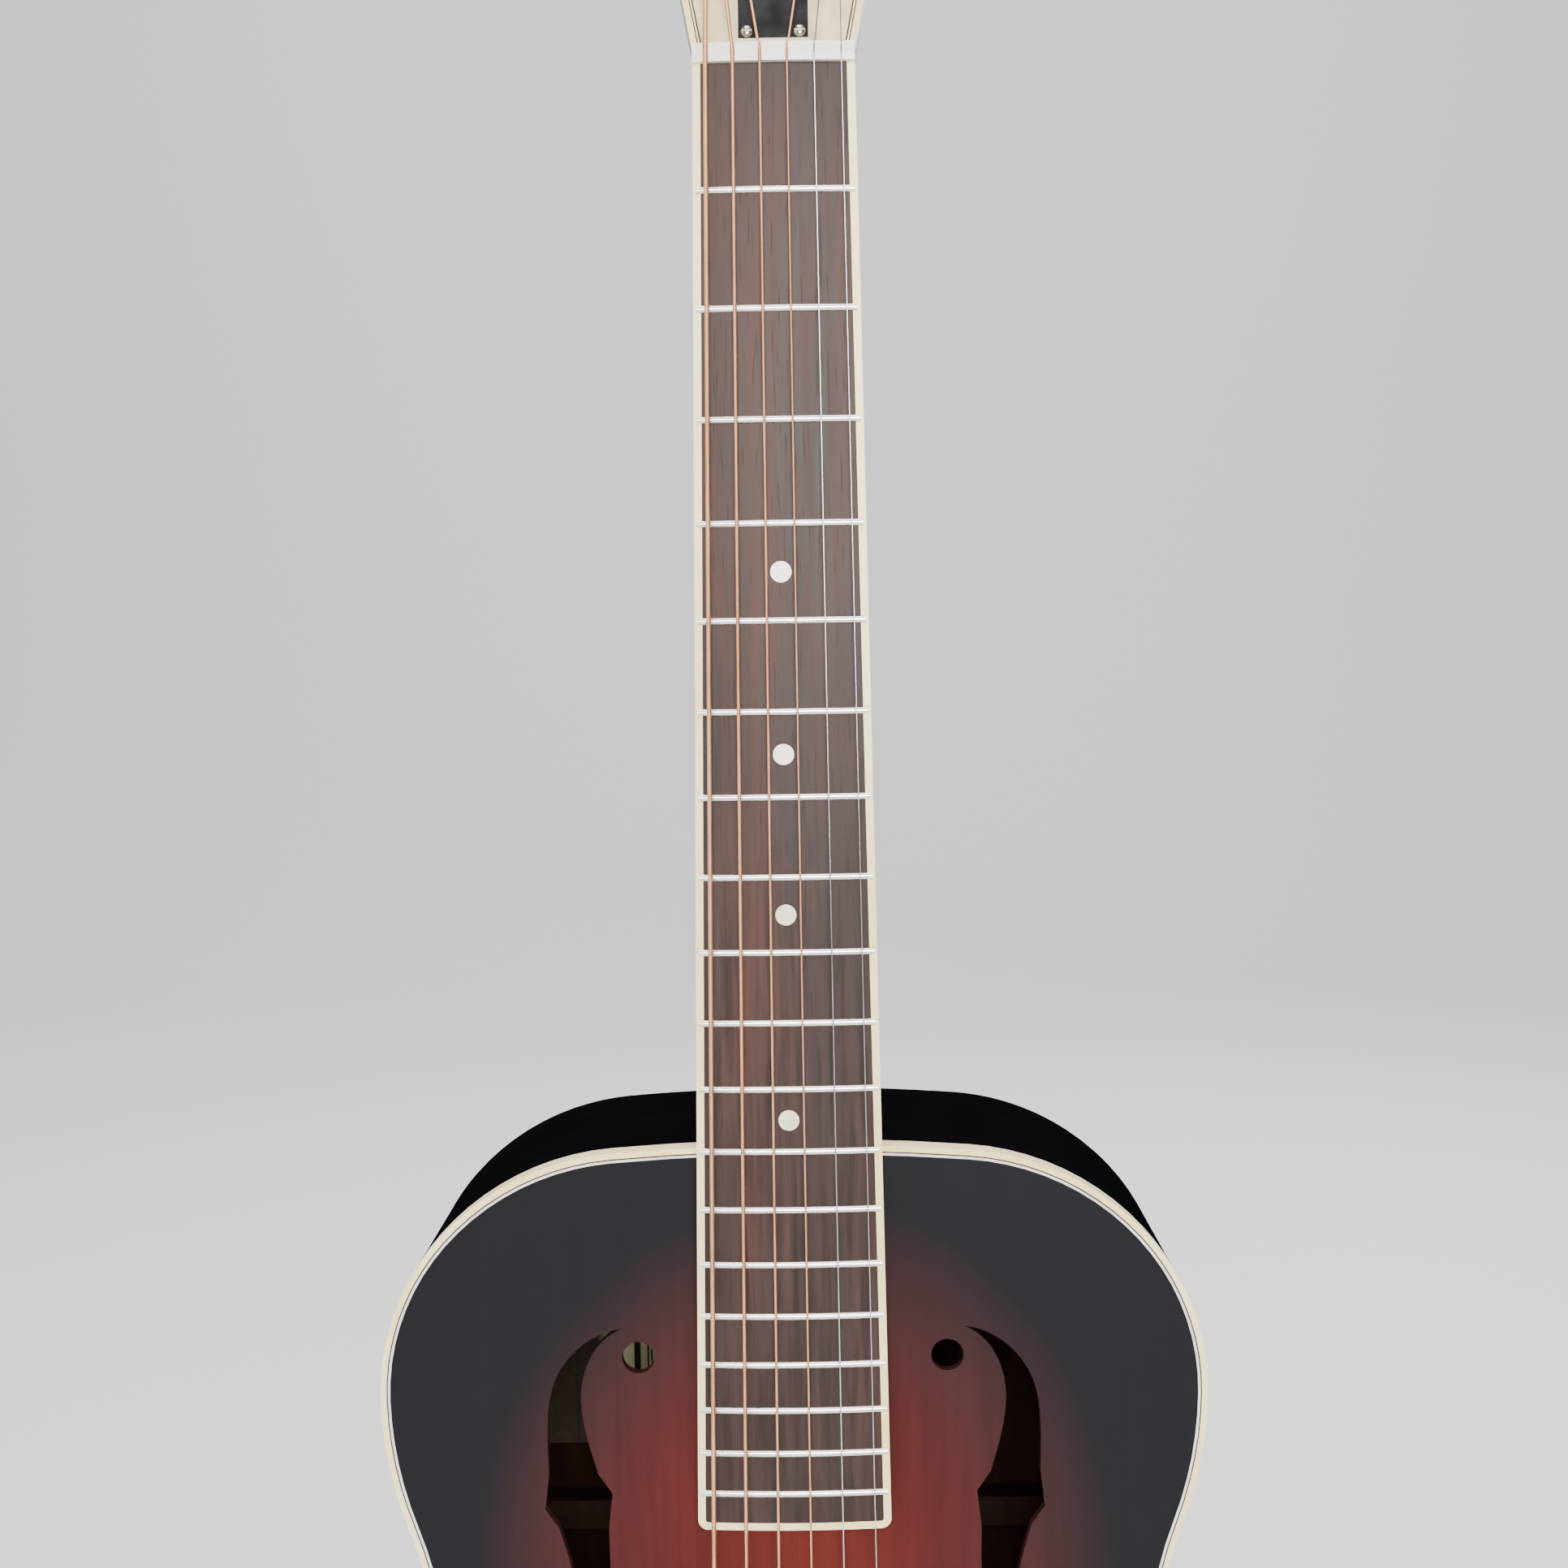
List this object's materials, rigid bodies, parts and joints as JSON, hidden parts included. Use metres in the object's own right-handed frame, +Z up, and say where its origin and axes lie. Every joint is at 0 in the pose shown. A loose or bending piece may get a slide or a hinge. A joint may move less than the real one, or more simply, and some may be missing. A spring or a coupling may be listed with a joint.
{
  "type": "resonator guitar",
  "caption": "Wooden-bodied resonator guitar with f-holes, a single cone under a slotted coverplate, a bound fretted neck, turning string tuners and a hinged tailpiece.",
  "frame": {"origin": "on the centre line at the nut's playing edge, at the height of the fingerboard's crown, where a hanger's yoke holds the neck", "axes": "+Z runs up the neck to the headstock, +X to the treble side, and the playing face looks towards -Y"},
  "size_m": [0.3564, 0.1103, 1.011],
  "materials": {
    "sunburst_top": "satin sunburst lacquer over mahogany",
    "black_lacquer": "gloss black lacquer",
    "raw_wood": "unfinished",
    "paper": "matte paper",
    "cream_binding": "satin",
    "purfling": "satin",
    "dark_neck": "satin dark stain",
    "steel": "plain",
    "rosewood": "open-pored, oiled",
    "nickel_silver": "polished",
    "pearl": "pearl",
    "bone": "polished bone",
    "pearloid": "pearloid celluloid",
    "black_plastic": "gloss",
    "nickel": "polished nickel plate",
    "spun_aluminium": "spun",
    "maple": "sanded",
    "bronze_wound": "wound phosphor bronze",
    "plain_steel": "drawn",
    "button_plastic": "aged ivory plastic"
  },
  "bodies": {
    "guitar": {"soundboard": "sunburst_top", "back": "black_lacquer", "side_left": "black_lacquer", "side_right": "black_lacquer", "neck_block": "raw_wood", "tail_block": "raw_wood", "linings": "raw_wood", "braces": "raw_wood", "soundwell": "raw_wood", "cone_ledge": "raw_wood", "label": "paper", "body_binding": "cream_binding", "body_purfling": "purfling", "neck": "dark_neck", "truss_rod": "steel", "truss_rod_nut": "steel", "fingerboard": "rosewood", "fingerboard_binding": "cream_binding", "frets": "nickel_silver", "position_dots": "pearl", "nut": "bone", "headstock_overlay": "pearloid", "headstock_binding": "cream_binding", "truss_rod_cover": "black_plastic", "truss_cover_screws": "nickel", "resonator_cone": "spun_aluminium", "biscuit": "maple", "saddle": "maple", "biscuit_screw": "steel", "coverplate": "nickel", "coverplate_screws": "nickel", "palm_rest": "nickel", "palm_rest_screws": "nickel", "tailpiece_bracket": "nickel", "tailpiece_bracket_screws": "nickel", "tailpiece_hinge_pin": "steel", "end_pin": "black_plastic", "tuner_strip_left": "nickel", "tuner_strip_right": "nickel", "tuner_strip_screws": "nickel", "tuner_bushings": "nickel", "string_1": "plain_steel", "string_2": "plain_steel", "string_3": "bronze_wound", "string_4": "bronze_wound", "string_5": "bronze_wound", "string_6": "bronze_wound"},
    "tailpiece": {"tailpiece": "nickel"},
    "post_6": {"tuner_post_6": "nickel"},
    "shaft_6": {"tuner_shaft_6": "button_plastic"},
    "post_5": {"tuner_post_5": "nickel"},
    "shaft_5": {"tuner_shaft_5": "button_plastic"},
    "post_4": {"tuner_post_4": "nickel"},
    "shaft_4": {"tuner_shaft_4": "button_plastic"},
    "post_3": {"tuner_post_3": "nickel"},
    "shaft_3": {"tuner_shaft_3": "button_plastic"},
    "post_2": {"tuner_post_2": "nickel"},
    "shaft_2": {"tuner_shaft_2": "button_plastic"},
    "post_1": {"tuner_post_1": "nickel"},
    "shaft_1": {"tuner_shaft_1": "button_plastic"}
  },
  "joints": [
    {"name": "tailpiece_hinge", "type": "hinge", "parent": "guitar", "child": "tailpiece", "pos_m": [0, 0.0035, -0.81718], "axis": [1, 0, 0], "range_deg": [0, 80], "stiffness_Nm_per_rad": 2},
    {"name": "post_6_turn", "type": "hinge", "parent": "guitar", "child": "post_6", "pos_m": [-0.022, 0.03168, 0.05033], "axis": [0, 0.9703, -0.2419], "continuous": true},
    {"name": "shaft_6_turn", "type": "hinge", "parent": "guitar", "child": "shaft_6", "pos_m": [-0.02152, 0.03431, 0.04062], "axis": [-0.9985, -0.0131, -0.0524], "continuous": true},
    {"name": "post_5_turn", "type": "hinge", "parent": "guitar", "child": "post_5", "pos_m": [-0.024, 0.04063, 0.08623], "axis": [0, 0.9703, -0.2419], "continuous": true},
    {"name": "shaft_5_turn", "type": "hinge", "parent": "guitar", "child": "shaft_5", "pos_m": [-0.02353, 0.04326, 0.07652], "axis": [-0.9985, -0.0131, -0.0524], "continuous": true},
    {"name": "post_4_turn", "type": "hinge", "parent": "guitar", "child": "post_4", "pos_m": [-0.026, 0.04958, 0.12213], "axis": [0, 0.9703, -0.2419], "continuous": true},
    {"name": "shaft_4_turn", "type": "hinge", "parent": "guitar", "child": "shaft_4", "pos_m": [-0.02552, 0.05221, 0.11242], "axis": [-0.9985, -0.0131, -0.0524], "continuous": true},
    {"name": "post_3_turn", "type": "hinge", "parent": "guitar", "child": "post_3", "pos_m": [0.026, 0.04958, 0.12213], "axis": [0, 0.9703, -0.2419], "continuous": true},
    {"name": "shaft_3_turn", "type": "hinge", "parent": "guitar", "child": "shaft_3", "pos_m": [0.02552, 0.05221, 0.11242], "axis": [0.9985, -0.0131, -0.0524], "continuous": true},
    {"name": "post_2_turn", "type": "hinge", "parent": "guitar", "child": "post_2", "pos_m": [0.024, 0.04063, 0.08623], "axis": [0, 0.9703, -0.2419], "continuous": true},
    {"name": "shaft_2_turn", "type": "hinge", "parent": "guitar", "child": "shaft_2", "pos_m": [0.02353, 0.04326, 0.07652], "axis": [0.9985, -0.0131, -0.0524], "continuous": true},
    {"name": "post_1_turn", "type": "hinge", "parent": "guitar", "child": "post_1", "pos_m": [0.022, 0.03168, 0.05033], "axis": [0, 0.9703, -0.2419], "continuous": true},
    {"name": "shaft_1_turn", "type": "hinge", "parent": "guitar", "child": "shaft_1", "pos_m": [0.02152, 0.03431, 0.04062], "axis": [0.9985, -0.0131, -0.0524], "continuous": true}
  ],
  "couplings": [
    {"joint": "shaft_6_turn", "follows": "post_6_turn", "ratio": -15},
    {"joint": "shaft_5_turn", "follows": "post_5_turn", "ratio": -15},
    {"joint": "shaft_4_turn", "follows": "post_4_turn", "ratio": -15},
    {"joint": "shaft_3_turn", "follows": "post_3_turn", "ratio": 15},
    {"joint": "shaft_2_turn", "follows": "post_2_turn", "ratio": 15},
    {"joint": "shaft_1_turn", "follows": "post_1_turn", "ratio": 15}
  ]
}
